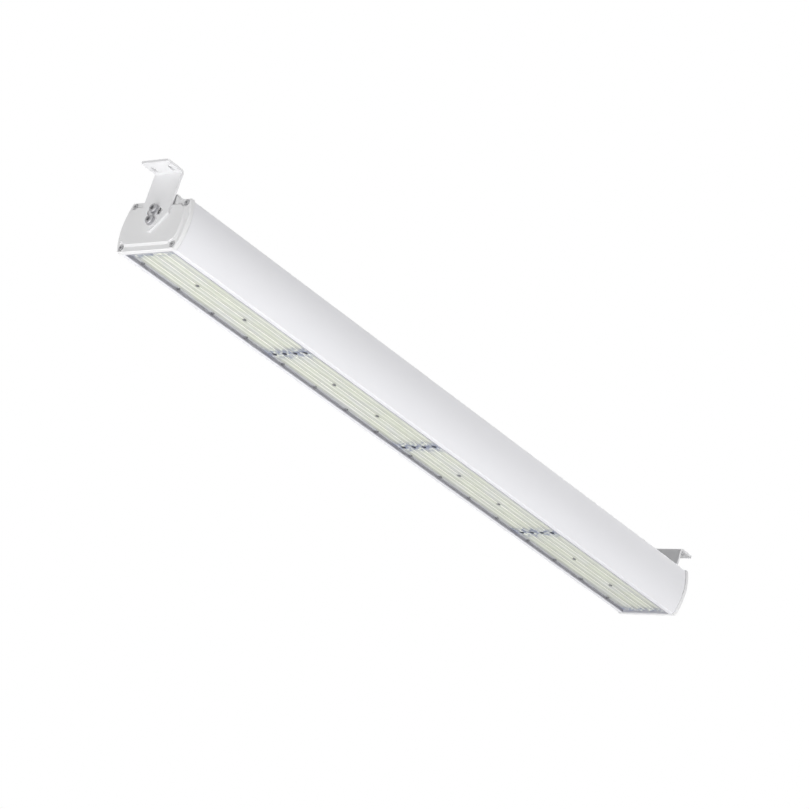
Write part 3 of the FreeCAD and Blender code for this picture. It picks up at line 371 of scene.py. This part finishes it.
def distance(finish, centre_y, centre_z):
    _, (_, across, up) = finish.place()
    return ((across - centre_y) ** 2 + (up - centre_z) ** 2) ** 0.5


def turned_steel(name, colour, reach, socket, rim):
    """Steel about an axis: reach(finish) is the distance from the axis."""
    finish = Finish(name, colour, 0.34, Metallic=0.8)
    away = reach(finish)
    socket_shade_mask = away.apply("LESS_THAN", socket)
    edge = away.apply("GREATER_THAN", rim)
    stain = finish.noise(scale=420.0, detail=3.0)
    stained = finish.between(colour, lit(colour, STAINED), stain)
    bright = finish.between(stained, lit(colour, RUBBED), edge)
    # The socket or cross in the middle is painted darker: painted shade of the recess,
    # with some oil.
    finish.shade("Base Color", finish.between(bright, SOCKET_SHADE, socket_shade_mask))
    finish.shade("Roughness", 0.50 + 0.14 * finish.noise(scale=700.0) + 0.20 * socket_shade_mask)
    rings = (away * (2 * pi / RING_PITCH)).apply("SINE")
    finish.bump(rings, RING_RELIEF)
    return finish


def height_of(node):
    """Height of the middle of a node."""
    low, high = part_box(node)
    return (low[2] + high[2]) / 2


BOLT_RADIUS = (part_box("pivot_bolt_left")[1][1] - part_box("pivot_bolt_left")[0][1]) / 2
SOCKET_RADIUS = 0.46 * BOLT_RADIUS
HEAD_RIM = 0.93 * BOLT_RADIUS
WASHER_RIM = 0.0078
for kind in ("pivot", "lock"):
    reach = partial(distance, centre_y=0.0, centre_z=height_of(f"{kind}_bolt_left"))
    turned_steel(f"{kind}_bolt_plate", (0.46, 0.46, 0.475), reach, SOCKET_RADIUS,
                 HEAD_RIM).dress(*each(f"{kind}_bolt", SIDES))
    turned_steel(f"{kind}_washer_plate", (0.62, 0.62, 0.63), reach, 0.0,
                 WASHER_RIM).dress(*each(f"{kind}_washer", SIDES))
print("bolt radius:", round(BOLT_RADIUS, 4))

# %% [markdown]
# ## Cap screws
# Eight cross head screws hold the caps. One finish serves all of them: Y is
# folded about the middle plane with an absolute value, and the height is folded
# about the middle between the upper and the lower pair, so one distance is right
# at every corner.

# %% Cap screws
SCREWS_LOW, SCREWS_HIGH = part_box("cap_screws_left")
HEAD_RADIUS = 0.0039
CROSS_RADIUS = 0.0011


def corner_reach(finish):
    _, (_, across, up) = finish.place()
    middle = (SCREWS_LOW[2] + SCREWS_HIGH[2]) / 2
    fold_y = across.apply("ABSOLUTE") - (SCREWS_HIGH[1] - HEAD_RADIUS)
    fold_z = (up - middle).apply("ABSOLUTE") - (SCREWS_HIGH[2] - HEAD_RADIUS - middle)
    return (fold_y ** 2 + fold_z ** 2) ** 0.5


# The cross in each head gets the painted shade of its recess.
turned_steel("cap_screw_steel", (0.50, 0.50, 0.51), corner_reach, CROSS_RADIUS,
             0.92 * HEAD_RADIUS).dress(*each("cap_screws", SIDES))
print("cap screws at", round(SCREWS_HIGH[1] - HEAD_RADIUS, 4), "from the middle")

# %% [markdown]
# ## Seals, mouldings and small screws
# The seals are soft grey silicone with a dull skin. The gland, the vent and the
# terminal block are moulded nylon with a slight sheen and a fine grain. The
# screws of the optics are blackened, and oil leaves them blotched.

# %% Seals, mouldings and small screws
FLOW_MARK = 0.93        # light of a flow mark in a moulding, as a share
OILED = 0.7             # light of an oily patch on a screw, as a share


def moulding(name, colour, roughness=0.45, grain=0.00003):
    finish = Finish(name, colour, roughness)
    flow = finish.noise(scale=55.0, detail=3.0)
    finish.shade("Base Color", finish.between(lit(colour, FLOW_MARK), colour, flow))
    finish.shade("Roughness", roughness + 0.12 * finish.noise(scale=300.0))
    finish.bump(finish.noise(scale=1200.0, detail=1.0), grain)
    return finish


def screw_steel(name, colour, roughness):
    finish = Finish(name, colour, roughness, Metallic=1.0)
    oil = finish.noise(scale=650.0)
    finish.shade("Base Color", finish.between(lit(colour, OILED), colour, oil))
    finish.shade("Roughness", roughness + 0.15 * finish.noise(scale=700.0))
    finish.bump(finish.noise(scale=1500.0, detail=1.0), 0.00002)
    return finish


screw_steel("edge_screw_oxide", (0.40, 0.40, 0.43), 0.45).dress(
    *each("optic_screws", MODULES))
screw_steel("joint_screw_oxide", (0.115, 0.12, 0.15), 0.38).dress(
    *each("joint_screws", MODULES[:-1]))
screw_steel("inner_steel", (0.6, 0.6, 0.6), 0.35).dress("driver_screws")
screw_steel("driver_case", (0.62, 0.62, 0.63), 0.5).dress("driver")
moulding("lens_seal", (0.53, 0.53, 0.575), 0.6).dress("lens_frame")
moulding("grey_silicone", (0.68, 0.68, 0.70), 0.6).dress(*each("cap_gasket", SIDES))
dark_nylon = moulding("dark_nylon", (0.09, 0.09, 0.10))
dark_nylon.dress("cable_gland", "gland_lock_nut", "breather_vent")
moulding("white_nylon", (0.78, 0.78, 0.76)).dress("terminal_block", "board_links")
moulding("lead_sleeve", (0.2, 0.2, 0.22)).dress("internal_leads")
print("seals, mouldings and screws dressed")

# %% [markdown]
# ## LED boards
# Each board is aluminium under white solder mask. Four rows of packages stand on
# it, with two copper tracks beside each row that show through the mask as faint
# raised lines. The rows are 20 mm apart, so Y is folded into one row's width
# before the tracks are drawn. A package is a white cup around a yellow phosphor.

# %% LED boards and packages
ROW_PITCH = 0.020
TURNS_BELOW = 10        # whole turns added, so that what is folded is positive
TRACK_PLACE = 0.0038
TRACK_HALF = 0.0007
TRACK_RELIEF = 0.00004
CUP_HALF = 0.0010
MASK, TRACK, CUP = (0.80, 0.82, 0.76), (0.66, 0.68, 0.60), (0.85, 0.85, 0.80)
module_pitch = (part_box("housing")[1][0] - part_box("housing")[0][0]) / len(MODULES)


def row_fold(finish):
    """Distance from the nearest LED row, in metres."""
    _, (_, across, _) = finish.place()
    turns = (across / ROW_PITCH + TURNS_BELOW).apply("FRACT")
    return (turns - 0.5).apply("ABSOLUTE") * ROW_PITCH


board = moulding("solder_mask", MASK, 0.35)
track = (row_fold(board) - TRACK_PLACE).apply("ABSOLUTE").apply("LESS_THAN", TRACK_HALF)
board.shade("Base Color", board.between(MASK, TRACK, track))
board.bump(track, TRACK_RELIEF)
board.dress(*each("led_board", MODULES))

phosphor = Finish("phosphor", CUP, 0.5)
in_cup = row_fold(phosphor).apply("LESS_THAN", CUP_HALF)
tone = phosphor.between((0.82, 0.66, 0.13), (0.88, 0.74, 0.22),
                        phosphor.noise(scale=900.0))
phosphor.shade("Base Color", phosphor.between(CUP, tone, in_cup))
phosphor.dress(*each("leds", MODULES))
print("module pitch:", round(module_pitch, 5))

# %% [markdown]
# ## Clear optics
# The optic is clear acrylic with four linear lenses. It is moulded with fine
# prisms along its whole length, three to a lens, and the crest of each carries a
# painted highlight: a bright line in the colour, between darker ones. Real
# refraction would need very many light paths, so the plate is partly see-through
# instead: its alpha rises on the bright lines, and its tint is the pale
# green-yellow that the phosphor behind lends it.
# At a joint the plates end in a frosted zone, which is cooler and blotched. Along
# both long edges the plate runs as a flange under the seal, and its colour there is
# painted shade, a darker grey.

# %% Clear optics
PRISM_PITCH = ROW_PITCH / 3
PRISM_RELIEF = 0.00020
FLANGE_FROM = 0.0387    # from the middle plane
JOINT_REACH = 0.020
PALE, GREEN, LILAC = (0.90, 0.91, 0.87), (0.66, 0.70, 0.54), (0.76, 0.76, 0.83)
# The line tone is painted highlight on the prism crests, and the edge tone is painted
# shade along the long edges.
HIGHLIGHT_LINE, FLANGE_SHADE, BLOTCH = (0.985, 0.985, 0.95), (0.62, 0.63, 0.68), (0.26, 0.29, 0.40)
# How solid the plate looks, and how much a bright line and the frost add.
PLATE_ALPHA, LINE_ALPHA, FROST_ALPHA = 0.58, 0.12, 0.22
# How rough it is, and how much the frost and a streak add.
PLATE_ROUGH, FROST_ROUGH, STREAK_ROUGH = 0.10, 0.25, 0.08


def prism_lines(finish, sharpness):
    """One on the crest of each prism, zero in the valleys."""
    _, (_, across, _) = finish.place()
    wave = (across * (2 * pi / PRISM_PITCH)).apply("COSINE")
    return (0.5 + 0.5 * wave) ** sharpness


def near_joint(finish):
    """One at the ends of the plates, zero away from them."""
    _, (along, _, _) = finish.place()
    phase = (along / module_pitch + (TURNS_BELOW + 0.5)).apply("FRACT") - 0.5
    away = phase.apply("ABSOLUTE") * module_pitch
    return 1 - (away / JOINT_REACH).apply("MINIMUM", 1.0)


clear = Finish("clear_acrylic", PALE, 0.12, Specular_IOR_Level=0.5)
# The crests carry a painted highlight: a near-white line in the colour.
crest_highlights = prism_lines(clear, 1.6)
rows = 1 - row_fold(clear) * (2 / ROW_PITCH)
# Long streaks along the plate decide where the painted highlights on the crests
# show, and wide patches where the tint is greener or cooler.
streak = (2.2 * clear.noise(60.0, 4.0, (0.12, 1.6, 1.0)) - 0.6).clamp(0.0, 1.0)
patch = clear.noise(34.0, 6.0, (0.5, 1.6, 1.0))
greener = (0.60 + 0.20 * rows) * (0.40 + patch)
cooler = (2.6 * patch - 1.15).clamp(0.0, 0.6)
tinted = clear.between(clear.between(PALE, GREEN, greener), LILAC, cooler)
highlighted = clear.between(tinted, HIGHLIGHT_LINE, crest_highlights * streak)
_, (_, from_middle, _) = clear.place()
# Along both long edges, next to the seal, the plate is painted a darker grey: painted
# shade.
flange_shade = from_middle.apply("ABSOLUTE").apply("GREATER_THAN", FLANGE_FROM)
flange_shaded = clear.between(highlighted, FLANGE_SHADE, flange_shade * 0.8)
frost = near_joint(clear)
mottle = clear.noise(scale=190.0, detail=3.0)
blotch = (frost * (7.0 * mottle - 2.6)).clamp(0.0, 0.9)
clear.shade("Base Color", clear.between(flange_shaded, BLOTCH, blotch))
clear.shade("Alpha", PLATE_ALPHA + LINE_ALPHA * crest_highlights + FROST_ALPHA * frost)
clear.shade("Roughness", PLATE_ROUGH + FROST_ROUGH * frost + STREAK_ROUGH * streak)
clear.bump(crest_highlights, PRISM_RELIEF, 0.6)
clear.dress(*each("optic", MODULES))
print("prisms every", round(PRISM_PITCH * 1000, 2), "mm")

# %% [markdown]
# ## Making a new piece
# The small parts below are easier to model here than in the construction. Each is
# a bmesh that starts from one of Blender's own shapes and is worked with bevels,
# insets and extrusions. `new_piece` turns it into an object at the origin with
# its normals pointing out, gives it a finish and a material slot, and lets it
# ride on its body.

# %% Helpers for new pieces
def new_piece(name, shape, finish, body):
    bmesh.ops.recalc_face_normals(shape, faces=shape.faces)
    mesh = bpy.data.meshes.new(name)
    shape.to_mesh(mesh)
    shape.free()
    mesh.materials.append(finish.material)
    piece = bpy.data.objects.new(name, mesh)
    bpy.context.collection.objects.link(piece)
    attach(piece, body)
    return piece


def faces_of(made):
    return [item for item in made if isinstance(item, bmesh.types.BMFace)]


def verts_of(made):
    return [item for item in made if isinstance(item, bmesh.types.BMVert)]


def extrude(shape, faces, vector):
    """Pulls the faces along a vector; returns the faces at the new end."""
    made = bmesh.ops.extrude_face_region(shape, geom=list(faces))
    bmesh.ops.translate(shape, vec=vector, verts=verts_of(made["geom"]))
    return faces_of(made["geom"])


def bevel(shape, edges, width, segments=2):
    bmesh.ops.bevel(shape, geom=edges, offset=width, offset_type="OFFSET",
                    segments=segments, profile=0.5, material=-1, affect="EDGES")


print("helpers for pieces ready")

# %% [markdown]
# ## Round shapes along X
# Everything round on this lamp points along X. A disc across X comes from a
# circle turned a quarter about Y. A fluted sleeve starts as a ring of twice as
# many points as flutes: every second point is pushed out, a plain ring inside
# closes the band, and the band is extruded along the axis.

# %% Helpers for round shapes
SLEEVE_WALL = 0.97      # inside of a sleeve, as a share of its valleys


def disc_along_x(shape, segments, radius, centre, filled=True):
    """A flat disc across X; returns its vertices in order round the rim."""
    place = Matrix.Translation(centre) @ Matrix.Rotation(pi / 2, 4, "Y")
    made = bmesh.ops.create_circle(shape, cap_ends=filled, segments=segments,
                                   radius=radius, matrix=place)
    return made["verts"]


def fluted_sleeve(centre, teeth, inner, outer, length):
    """A sleeve along X with pointed flutes, closed at both ends by flat rings."""
    shape = bmesh.new()
    rim = disc_along_x(shape, 2 * teeth, inner, centre, filled=False)
    bmesh.ops.scale(shape, vec=(1, outer / inner, outer / inner), verts=rim[::2],
                    space=Matrix.Translation(-centre))
    disc_along_x(shape, 2 * teeth, SLEEVE_WALL * inner, centre, filled=False)
    bmesh.ops.bridge_loops(shape, edges=list(shape.edges))
    extrude(shape, shape.faces, (length, 0, 0))
    return shape


def ring_along_x(centre, inner, outer, length, width, segments=48):
    """A flat ring across X with a bevelled front edge."""
    shape = bmesh.new()
    disc_along_x(shape, segments, outer, centre, filled=False)
    disc_along_x(shape, segments, inner, centre, filled=False)
    bmesh.ops.bridge_loops(shape, edges=list(shape.edges))
    front = extrude(shape, shape.faces, (length, 0, 0))
    rims = {edge for face in front for edge in face.edges
            if sum(other in front for other in edge.link_faces) == 1}
    bevel(shape, list(rims), width)
    return shape


print("helpers for round shapes ready")

# %% [markdown]
# ## Knurled sleeves of the bolt heads
# Hexagon socket bolts have a knurled head, so that fingers can start them. The
# knurl is a sleeve of fine teeth round the head, which stops a little short of
# the washer and of the head's face.

# %% Knurls
KNURL_TEETH = 36
KNURL_INNER = 1.004 * BOLT_RADIUS
KNURL_OUTER = 1.03 * BOLT_RADIUS
KNURL_MARGIN = 0.0009

for kind in ("pivot", "lock"):
    for side, way in zip(SIDES, (-1, 1)):
        low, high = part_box(f"{kind}_bolt_{side}")
        face = high[0] if way > 0 else low[0]
        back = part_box(f"{kind}_washer_{side}")[1 if way > 0 else 0][0]
        start, stop = sorted((back + way * KNURL_MARGIN, face - way * KNURL_MARGIN))
        centre = Vector((start, 0, height_of(f"{kind}_bolt_{side}")))
        sleeve = fluted_sleeve(centre, KNURL_TEETH, KNURL_INNER, KNURL_OUTER,
                               stop - start)
        reach = partial(distance, centre_y=0.0, centre_z=centre.z)
        finish = turned_steel(f"{kind}_knurl_plate_{side}", (0.46, 0.46, 0.48),
                              reach, 0.0, KNURL_OUTER)
        new_piece(f"{kind}_bolt_knurl_{side}", sleeve, finish, "fixture")
print("knurls:", KNURL_TEETH, "teeth each")

# %% [markdown]
# ## Gland
# The gland's sealing nut has broad flutes for the hand, and a soft rubber bush
# sits in its mouth round the cable's way. Lengths are counted back from the
# gland's outer end.

# %% Gland
SEATED = 1.005          # a sleeve's valleys over the radius that it sits on
GLAND_LOW, GLAND_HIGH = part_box("cable_gland")
GLAND_DOME = 0.0086
GLAND_BORE = 0.0036
GRIP_FLUTES = 14
GRIP_FROM, GRIP_LENGTH = 0.0125, 0.0085
BUSH_RADIUS = 0.0058
BUSH_FROM, BUSH_LENGTH = 0.0004, 0.0008
BUSH_CLEAR = 0.0001
BUSH_BEVEL = 0.0003


def centre_back(low, high, back):
    """A point on the axis of a box, so far back from its right end."""
    return Vector((high[0] - back, (low[1] + high[1]) / 2, (low[2] + high[2]) / 2))


grip = fluted_sleeve(centre_back(GLAND_LOW, GLAND_HIGH, GRIP_FROM), GRIP_FLUTES,
                     SEATED * GLAND_DOME, 1.07 * GLAND_DOME, GRIP_LENGTH)
new_piece("gland_grip", grip, dark_nylon, "fixture")
bush = ring_along_x(centre_back(GLAND_LOW, GLAND_HIGH, BUSH_FROM),
                    GLAND_BORE + BUSH_CLEAR, BUSH_RADIUS, BUSH_LENGTH, BUSH_BEVEL)
new_piece("gland_bush", bush, moulding("gland_rubber", (0.16, 0.16, 0.17), 0.6),
          "fixture")
print("gland flutes:", GRIP_FLUTES)

# %% [markdown]
# ## Vent
# The breather vent lets the body breathe through a membrane. Its head has a crown
# of ribs to turn it by, and a raised cover with a shallow dish over the membrane.
# The dish is an inset that is pushed in.

# %% Vent
VENT_LOW, VENT_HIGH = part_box("breather_vent")
VENT_RADIUS = (VENT_HIGH[1] - VENT_LOW[1]) / 2
CROWN_RIBS = 20
CROWN_FROM, CROWN_LENGTH = 0.0042, 0.0022
COVER_RADIUS = 0.62 * VENT_RADIUS
COVER_FROM, COVER_RISE = 0.0002, 0.0009
DISH_EDGE, DISH_DEPTH = 0.0012, 0.0004

crown = fluted_sleeve(centre_back(VENT_LOW, VENT_HIGH, CROWN_FROM), CROWN_RIBS,
                      SEATED * VENT_RADIUS, 1.06 * VENT_RADIUS, CROWN_LENGTH)
new_piece("vent_crown", crown, dark_nylon, "fixture")
cover = bmesh.new()
disc_along_x(cover, 40, COVER_RADIUS, centre_back(VENT_LOW, VENT_HIGH, COVER_FROM))
top = extrude(cover, cover.faces, (COVER_RISE, 0, 0))
bmesh.ops.inset_region(cover, faces=top, thickness=DISH_EDGE, depth=-DISH_DEPTH)
new_piece("vent_cover", cover, dark_nylon, "fixture")
print("vent ribs:", CROWN_RIBS)

# %% [markdown]
# ## Domes on the LED packages
# Each package carries a low clear dome of silicone over its phosphor. The domes
# are a few faces each, because there are nearly two hundred. One dome is a
# sphere of few segments, flattened and half sunk in the package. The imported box
# of the group gives the first and the last place in a row.

# %% LED domes
LED_PITCH = 0.0228
DOME_RADIUS = 0.0012
DOME_RISE = 0.0007
ROW_PLACES = [ROW_PITCH * share for share in (-1.5, -0.5, 0.5, 1.5)]
silicone = moulding("dome_silicone", (0.88, 0.80, 0.36), 0.2, 0.00001)


def add_dome(shape, place):
    made = bmesh.ops.create_uvsphere(shape, u_segments=8, v_segments=6,
                                     radius=DOME_RADIUS)
    verts = made["verts"]
    bmesh.ops.scale(shape, vec=(1, 1, DOME_RISE / DOME_RADIUS), verts=verts)
    bmesh.ops.translate(shape, vec=place, verts=verts)


for number in MODULES:
    low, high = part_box(f"leds_{number}")
    count = round((high[0] - low[0]) / LED_PITCH) + 1
    first = (low[0] + high[0]) / 2 - LED_PITCH * (count - 1) / 2
    domes = bmesh.new()
    for step in range(count):
        for row in ROW_PLACES:
            add_dome(domes, (first + LED_PITCH * step, row, low[2]))
    new_piece(f"led_domes_{number}", domes, silicone, "fixture")
print("domes in each module:", count * len(ROW_PLACES))

# %% [markdown]
# ## Moulded ribs between the lenses
# A narrow rib stands in each valley between two lenses and stiffens the plate. Its
# colour is near white, brighter in patches along it: a painted highlight, which
# makes it the brightest line on the optic. A rib is a flat six-sided disc across X,
# half sunk in the plate, and extruded along the module. In the middle valley it
# stops short of the two centre screws.

# %% Ribs
RIB_RADIUS = 0.00045
RIB_END = 0.006         # from the end of the plate
SCREW_ROOM = 0.0046     # from the axis of a centre screw
CENTRE_SHARE = 0.1667   # centre screw from the module's middle, of the pitch
SCREW_HEAD = 0.0015
MIDDLE_NUMBER = sum(MODULES) / len(MODULES)
OPTIC_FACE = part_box("optic_screws_1")[0][2] + SCREW_HEAD
# The rib's colour is a painted highlight: near white, and brighter in patches along it.
rib_highlight = Finish("rib_acrylic_highlight", (0.97, 0.98, 0.93), 0.15, Specular_IOR_Level=0.6)
rib_highlight.shade("Base Color", rib_highlight.between(
    (0.84, 0.86, 0.78), (1.0, 1.0, 0.97), rib_highlight.noise(45.0, 3.0, (1.0, 0.1, 0.1))))


def add_rib(shape, start, stop, across):
    rim = disc_along_x(shape, 6, RIB_RADIUS, Vector((start, across, OPTIC_FACE)))
    face = [face for face in shape.faces if all(vert in rim for vert in face.verts)]
    extrude(shape, face, (stop - start, 0, 0))


for number in MODULES:
    low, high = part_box(f"optic_{number}")
    start, stop = low[0] + RIB_END, high[0] - RIB_END
    middle = module_pitch * (number - MIDDLE_NUMBER)
    near = middle - CENTRE_SHARE * module_pitch
    far = middle + CENTRE_SHARE * module_pitch
    ribs = bmesh.new()
    for across in (-ROW_PITCH, ROW_PITCH):
        add_rib(ribs, start, stop, across)
    add_rib(ribs, start, near - SCREW_ROOM, 0.0)
    add_rib(ribs, near + SCREW_ROOM, far - SCREW_ROOM, 0.0)
    add_rib(ribs, far + SCREW_ROOM, stop, 0.0)
    new_piece(f"optic_ribs_{number}", ribs, rib_highlight, "fixture")
print("ribs at", round(OPTIC_FACE, 4), "above the rim")

# %% [markdown]
# ## Lip of the lens seal
# The seal ends in a thin soft lip, nearly flush with the rim of the opening. It
# draws the fine dark line round the light opening. The lip is a flat frame: two
# squares from Blender are stretched to the outline and bridged, and the frame is
# given its height by an extrusion.

# %% Seal lip
SEAL_LOW, SEAL_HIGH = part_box("lens_frame")
LIP_BOTTOM = 0.0003
LIP_WIDTH = 0.0016
LIP_CLEAR = 0.0001


def square_loop(shape, half_x, half_y, height):
    """A rectangle across Z, made from a circle of four points."""
    made = bmesh.ops.create_circle(shape, segments=4, radius=2 ** 0.5,
                                   matrix=Matrix.Rotation(pi / 4, 4, "Z"))
    bmesh.ops.scale(shape, vec=(half_x, half_y, 1), verts=made["verts"])
    bmesh.ops.translate(shape, vec=(0, 0, height), verts=made["verts"])


lip = bmesh.new()
half_x, half_y = SEAL_HIGH[0] - LIP_CLEAR, SEAL_HIGH[1]
for inset in (0.0, LIP_WIDTH):
    square_loop(lip, half_x - inset, half_y - inset, LIP_BOTTOM)
bmesh.ops.bridge_loops(lip, edges=list(lip.edges))
extrude(lip, lip.faces, (0, 0, SEAL_LOW[2] - LIP_BOTTOM))
lip_finish = moulding("lip_silicone", (0.45, 0.45, 0.49), 0.6)
new_piece("lens_seal_lip", lip, lip_finish, "fixture")
print("lip height:", round(SEAL_LOW[2] - LIP_BOTTOM, 4))
